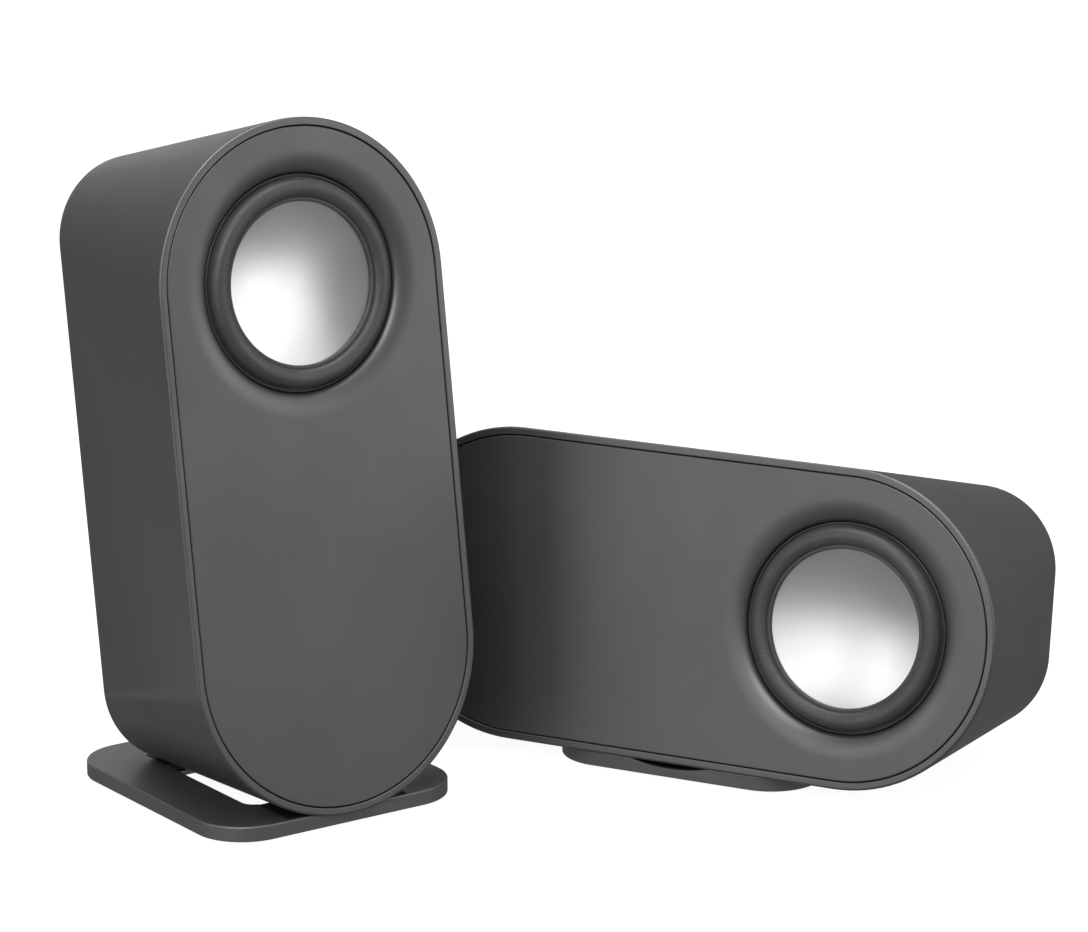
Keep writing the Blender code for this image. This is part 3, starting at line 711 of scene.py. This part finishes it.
def make_cable_gland(speaker):
    """A rubber bush that grips the back wall on both sides of its hole."""
    radius, back, front = gland_size(speaker)
    outside, inside = -speaker.depth - GAP, -speaker.depth + WALL + GAP
    profile = filleted([
        (GLAND_BORE, back, 0.0004), (radius, back, 0.0010), (radius, outside, 0.0003),
        (GLAND_NECK, outside, 0), (GLAND_NECK, inside, 0), (radius - GLAND_BARB_DROP, inside, 0.0003),
        (GLAND_NECK, front, 0.0005), (GLAND_BORE, front, 0.0004),
    ])
    gland = turned(f"{speaker.side}_gland", profile, speaker.gland, SMALL_STEPS)
    finish_piece(gland, speaker.cabinet_body, f"{speaker.side}_cable_gland", BLACK_RUBBER)


def gland_size(speaker):
    low, high = extent(f"{speaker.side}_cable_gland", speaker.gland)
    return high.x, low.z, high.z


def make_damping_wadding(speaker):
    """A tuft of polyester wadding: a crowned block with an uneven, fibrous skin."""
    low, high = extent(f"{speaker.side}_damping_wadding", speaker.cabinet)
    centre, half = (low + high) / 2, (high - low) / 2
    bm = bmesh.new()
    bmesh.ops.create_cube(bm, size=2.0)
    bmesh.ops.subdivide_edges(bm, edges=bm.edges[:], cuts=24, use_grid_fill=True)
    for vertex in bm.verts:
        place = vertex.co
        squares = [part ** 2 for part in place]
        crown = [1 - WADDING_CROWN * (sum(squares) - squares[axis]) / 2 for axis in range(3)]
        wide_lumps = WADDING_WIDE_LUMP * sin(5.1 * place.x + 1.3) * cos(4.3 * place.z)
        small_lumps = WADDING_SMALL_LUMP * sin(7.7 * place.y + 3 * place.z)
        corner = 0.84 + 0.10 * min(1.0, 1.35 / place.length)
        swell = corner + wide_lumps + small_lumps
        reach = [place[axis] * crown[axis] * swell * half[axis] for axis in range(3)]
        vertex.co = centre + Vector(reach)
    tuft = new_object(f"{speaker.side}_wadding", bm, speaker.cabinet)
    finish_piece(tuft, speaker.cabinet_body, f"{speaker.side}_damping_wadding", WADDING,
                 ALL_LUMPY)


# ------------------------------------------------------------------ driver

def make_trim_ring(speaker):
    """The narrow ring round the surround, with a fine groove along its lip."""
    outer, bottom, top = speaker.turned_size("driver_trim_ring")
    inner = outer - LIP_WIDTH
    half = LIP_WIDTH / 2
    crest = Vector((outer - half, top - half))
    lip = []
    steps = 24
    for i in range(steps + 1):
        turn = pi * i / steps
        groove = LIP_GROOVE * max(0.0, 1 - abs(turn - pi / 2) / GROOVE_TURN)
        lip.append(crest + (half - groove) * Vector((cos(turn), sin(turn))))
    ledge = speaker.turned_size("surround")[1] - GAP
    wall, shelf = inner - TRIM_WALL, inner - TRIM_SHELF_WIDTH
    profile = [(outer, bottom), *lip, (inner, ledge), (shelf, ledge), (shelf, ledge - TRIM_SHELF_EDGE),
               (wall, ledge - TRIM_SHELF_ROOT), (wall, bottom)]
    trim = turned(f"{speaker.side}_trim_ring", profile, speaker.driver)
    finish_piece(trim, speaker.cabinet_body, f"{speaker.side}_driver_trim_ring", TRIM)


def blend_from_edge(thing):
    """Bake a round piece's placing into its mesh."""
    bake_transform(thing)


def make_surround(speaker):
    """A half roll of rubber between the trim ring's ledge and the edge of the cone."""
    outer, low, high = speaker.turned_size("surround")
    cone_radius, _, cone_edge = speaker.turned_size("cone")
    outer_level, crest, level = low + SKIN / 2, high - SKIN / 2, cone_edge + GAP + SKIN / 2
    inner = cone_radius - CONE_OVERLAP
    centre = outer - ROLL_FOOT - ROLL_HALF_WIDTH
    steps = 32
    top, bottom = [(outer, outer_level + SKIN / 2)], [(outer, outer_level - SKIN / 2)]
    for i in range(steps + 1):
        turn = pi * i / steps
        swell = sin(turn)
        foot = outer_level if i <= steps / 2 else level
        middle_line = Vector((centre + ROLL_HALF_WIDTH * cos(turn), foot + (crest - foot) * swell))
        nudge = Vector((cos(turn) * swell, 1 - (1 - swell) * 0.2)).normalized() * SKIN / 2
        top.append(middle_line + nudge)
        bottom.append(middle_line - nudge)
    face = level + SKIN / 2
    top += [(inner + 0.0009, face), (inner + 0.0005, face + BEAD_HEIGHT), (inner + 0.0001, face)]
    top.append((inner, level))
    bottom.append((inner, level - SKIN / 2))
    surround = turned(f"{speaker.side}_roll_surround", top + bottom[::-1], speaker.driver)
    finish_piece(surround, None, f"{speaker.side}_surround", SURROUND, ALL_CURVED)
    blend_from_edge(surround)


def make_cone(speaker):
    """A shallow silver dish, part of a sphere."""
    radius, back, edge = speaker.turned_size("cone")
    dish = edge - back - CONE_SKIN
    sphere = (radius ** 2 + dish ** 2) / (2 * dish)
    steps, first = 40, 4
    front = []
    for i in (0, *range(first, steps + 1)):
        r = radius * i / steps
        front.append((r, back + CONE_SKIN + sphere - sqrt(sphere ** 2 - r ** 2)))
    rear = [(r, z - CONE_SKIN) for r, z in front]
    cone = turned(f"{speaker.side}_silver_cone", front + rear[::-1], speaker.driver)
    finish_piece(cone, speaker.diaphragm_body, f"{speaker.side}_cone", SILVER,
                 ALL_CURVED)


def make_spider(speaker):
    """A corrugated disc that centres the coil in its gap."""
    outer, low, high = speaker.turned_size("spider")
    start = speaker.turned_size("voice_coil")[0] + SPIDER_CLEARANCE
    end = outer - SPIDER_RIM
    level, wave = (low + high) / 2, (high - low) / 2 - SPIDER_HALF_SKIN
    steps = 48
    rows = []
    for i in range(steps + 1):
        t = i / steps
        rows.append((start + (end - start) * t, level + wave * sin(2 * pi * SPIDER_WAVES * t)))
    rows.append((outer, level))
    profile = [(r, z + SPIDER_HALF_SKIN) for r, z in rows]
    profile += [(r, z - SPIDER_HALF_SKIN) for r, z in rows[::-1]]
    spider = turned(f"{speaker.side}_corrugated_spider", profile, speaker.driver, SPIDER_STEPS)
    cloth = impregnated_cloth(f"{speaker.side}_impregnated_cloth", speaker.driver)
    finish_piece(spider, None, f"{speaker.side}_spider", cloth, ALL_CURVED)
    blend_from_edge(spider)


# ------------------------------------------------------------------ stand

def cradle_cutter(speaker):
    """An upright cabinet's outside, grown by the gap, where it stands in the plate."""
    front, rear = -GAP, speaker.depth + GAP
    section = filleted([(0, front, 0), (rear, front, BACK_EDGE + GAP), (rear, BACK_EDGE + GAP, 0)], 12)
    rings = [speaker.tub_ring(depth, inset) for depth, inset in section]
    return lofted("cradle", rings, speaker.stand @ UPRIGHT)


def upright_place(upright):
    """Where an upright cabinet is on its stand, from the one that stands."""
    return upright.stand.inverted() @ upright.cabinet


def pad_size(speaker, name):
    low, high = extent(f"{speaker.side}_{name}", speaker.stand)
    return (high.x - low.x) / 2, low.y, high.y, low.z, high.z


def make_stand_plate(speaker):
    """A plate with a window, pockets for its pads and feet, and room for an upright cabinet."""
    half, depth = speaker.plate_half, speaker.plate_depth
    low, high = speaker.plate_low.z, speaker.plate_high.z
    corners = [PLATE_CORNER] * 4
    edge = PLATE_EDGE - FILLET_MARGIN
    layers = filleted([(PLATE_EDGE, low, 0), (0, low, edge), (0, high, edge), (PLATE_EDGE, high, 0)], 6)
    plate = slab(f"{speaker.side}_plate", -half, half, 0, depth, corners, layers, speaker.stand, 24)
    flare = [(-POCKET_EDGE, low - 0.0005), (-POCKET_EDGE, low), (0, low + POCKET_EDGE),
             (0, high - POCKET_EDGE), (-POCKET_EDGE, high), (-POCKET_EDGE, high + DEEP_OVERCUT)]
    tools = [slab("window", -WINDOW_HALF_WIDTH, WINDOW_HALF_WIDTH, WINDOW_FRONT, WINDOW_BACK,
                  WINDOW_CORNERS, flare, speaker.stand, 10)]
    for pad in ("front_cradle_pad", "rear_cradle_pad"):
        wide, near, far, _, _ = pad_size(speaker, pad)
        floor = high - PAD_POCKET_DEPTH
        tools.append(slab("pocket", -wide - GAP, wide + GAP, near - GAP, far + GAP, [PAD_CORNER] * 4,
                          [(0, floor), (0, high + DEEP_OVERCUT)], speaker.stand, 4))
    tools.append(cradle_cutter(speaker))
    for number in range(1, 5):
        place = speaker.stand.inverted() @ middle(f"{speaker.side}_foot_{number}")
        foot_low, foot_high = extent(f"{speaker.side}_foot_{number}", speaker.stand)
        radius = (foot_high.x - foot_low.x) / 2 + GAP
        hole = [(0, -OVERCUT), (radius, -OVERCUT), (radius, FOOT_POCKET), (0, FOOT_POCKET)]
        tools.append(turned("foot_pocket", hole,
                            speaker.stand @ Matrix.Translation((place.x, place.y, 0)), SMALL_STEPS))
    cut(plate, tools)
    finish_piece(plate, speaker.stand_body, f"{speaker.side}_stand_plate", STAND_PAINTED_LIGHTER,
                 PLATE_SHARP_ANGLE)


def make_cradle_pads(speaker):
    """Rubber pads let into the plate, hollowed where an upright cabinet rests on them."""
    for name in ("front_cradle_pad", "rear_cradle_pad"):
        wide, near, far, low, high = pad_size(speaker, name)
        edge = PAD_EDGE * 0.9
        layers = filleted([(PAD_EDGE, low, 0), (0, low, edge), (0, high, edge), (PAD_EDGE, high, 0)], 4)
        pad = slab(f"{speaker.side}_{name[:-4]}_rubber", -wide, wide, near, far, [PAD_CORNER] * 4,
                   layers, speaker.stand, 6)
        cut(pad, [cradle_cutter(speaker)])
        finish_piece(pad, speaker.stand_body, f"{speaker.side}_{name}", BLACK_RUBBER)


def make_feet(speaker):
    """Rubber discs with a rounded edge and a shallow ring on the sole."""
    for number in range(1, 5):
        node = f"{speaker.side}_foot_{number}"
        low, high = extent(node, speaker.stand)
        centre, radius = (low + high) / 2, (high.x - low.x) / 2
        profile = filleted([
            (0, SOLE_HOLLOW, 0), (radius * SOLE_HOLLOW_SHARE, SOLE_HOLLOW, 0),
            (radius * SOLE_RING_SHARE, 0, 0.0002), (radius, 0, 0.0004),
            (radius, high.z, 0.0002), (0, high.z, 0),
        ])
        foot = turned(f"{speaker.side}_rubber_foot_{number}", profile,
                      speaker.stand @ Matrix.Translation((centre.x, centre.y, 0)), SMALL_STEPS)
        finish_piece(foot, speaker.stand_body, node, BLACK_RUBBER)


# ------------------------------------------------------------------ carried-over nodes

def dress_cad_nodes(speaker):
    """The inner pieces keep their CAD shape and get their real finishes."""
    side = speaker.side
    zinc = metal(f"{side}_zinc_plate", (0.52, 0.53, 0.55), 0.33, speaker.driver)
    finishes = {"voice_coil": winding(f"{side}_winding", speaker.driver), "driver_basket": STEEL,
                "top_plate": zinc, "magnet": FERRITE, "pole_yoke": zinc, "terminal_strip": BOARD,
                "lead_wire_red": LEADS["red"], "lead_wire_black": LEADS["black"]}
    for number in range(1, 5):
        finishes[f"driver_screw_{number}"] = zinc
    for name, material in finishes.items():
        node = frame["nodes"][f"{side}_{name}"]
        node.data.materials.clear()
        node.data.materials.append(material)
        node.data.shade_smooth()
        node.data.set_sharp_from_angle(angle=radians(SHARP_ANGLE))


# ------------------------------------------------------------------ stage

def make_floor():
    """A white light table: it glows a little, and the gloss of the pieces doesn't show it."""
    bm = bmesh.new()
    bmesh.ops.create_grid(bm, x_segments=8, y_segments=8, size=FLOOR_REACH)
    floor = new_object("floor", bm, Matrix.Identity(4))
    shader = Shader("pale_floor", 0.8, Specular_IOR_Level=0.0, Emission_Strength=FLOOR_GLOW)
    shader.feed("Base Color", shader.blend(shader.noise(0.6), (0.28, 0.28, 0.28), (0.30, 0.30, 0.30)))
    shader.feed("Emission Color", (1.0, 1.0, 1.0, 1.0))
    floor.data.materials.append(shader.material)
    floor.visible_glossy = False
    floor.visible_diffuse = False


def make_soft_box(name, azimuth, elevation, size, power):
    """A soft box on a dome over the speakers, in degrees and watts.  It isn't seen itself."""
    light = bpy.data.lights.new(name, "AREA")
    light.shape = "SQUARE"
    light.size = size
    light.energy = power
    lamp = bpy.data.objects.new(name, light)
    bpy.context.scene.collection.objects.link(lamp)
    turn, rise = radians(azimuth), radians(elevation)
    outwards = Vector((cos(rise) * cos(turn), cos(rise) * sin(turn), sin(rise)))
    lamp.location = LIGHT_CENTRE + LIGHT_REACH * outwards
    lamp.rotation_euler = (-outwards).to_track_quat("-Z", "Y").to_euler()
    lamp.visible_camera = False


def make_world(strength):
    world = bpy.data.worlds.new("studio")
    bpy.context.scene.world = world
    world.use_nodes = True
    background = world.node_tree.nodes["Background"]
    background.inputs["Color"].default_value = (1.0, 1.0, 1.0, 1.0)
    background.inputs["Strength"].default_value = strength


def make_camera():
    camera = bpy.data.cameras.new("camera")
    camera.lens = CAMERA_LENS
    camera.sensor_fit = "HORIZONTAL"
    camera.clip_start = 0.05
    holder = bpy.data.objects.new("camera", camera)
    bpy.context.scene.collection.objects.link(holder)
    turn = Matrix.Rotation(pi / 2 - CAMERA_PITCH, 4, "X") @ Matrix.Rotation(-CAMERA_ROLL, 4, "Z")
    holder.matrix_world = Matrix.Translation(CAMERA_PLACE) @ turn
    bpy.context.scene.camera = holder


make_camera()
make_world(WORLD_STRENGTH)
make_floor()
for bank, azimuths, power in (("left", LEFT_BANK, LEFT_POWER), ("right", RIGHT_BANK, RIGHT_POWER),
                              ("back", BACK_BANK, BACK_POWER)):
    for azimuth in azimuths:
        make_soft_box(bank, azimuth, LOW_RISE, LOW_BOX, power)
make_soft_box("front_high", -100, HIGH_RISE, HIGH_BOX, FRONT_POWER)
make_soft_box("right_high", -15, HIGH_RISE, HIGH_BOX, RIGHT_POWER)
make_soft_box("overhead", 0, 90, TOP_BOX, TOP_POWER)
bpy.context.scene.view_settings.view_transform = "Standard"

SPEAKERS = [Speaker("left", lying=False), Speaker("right", lying=True)]
UPRIGHT = upright_place(SPEAKERS[0])
for one in SPEAKERS:
    make_cabinet_shell(one)
    make_front_baffle(one)
    make_baffle_gasket(one)
    make_cable_gland(one)
    make_damping_wadding(one)
    make_trim_ring(one)
    make_surround(one)
    make_cone(one)
    make_spider(one)
    make_stand_plate(one)
    make_cradle_pads(one)
    make_feet(one)
    dress_cad_nodes(one)
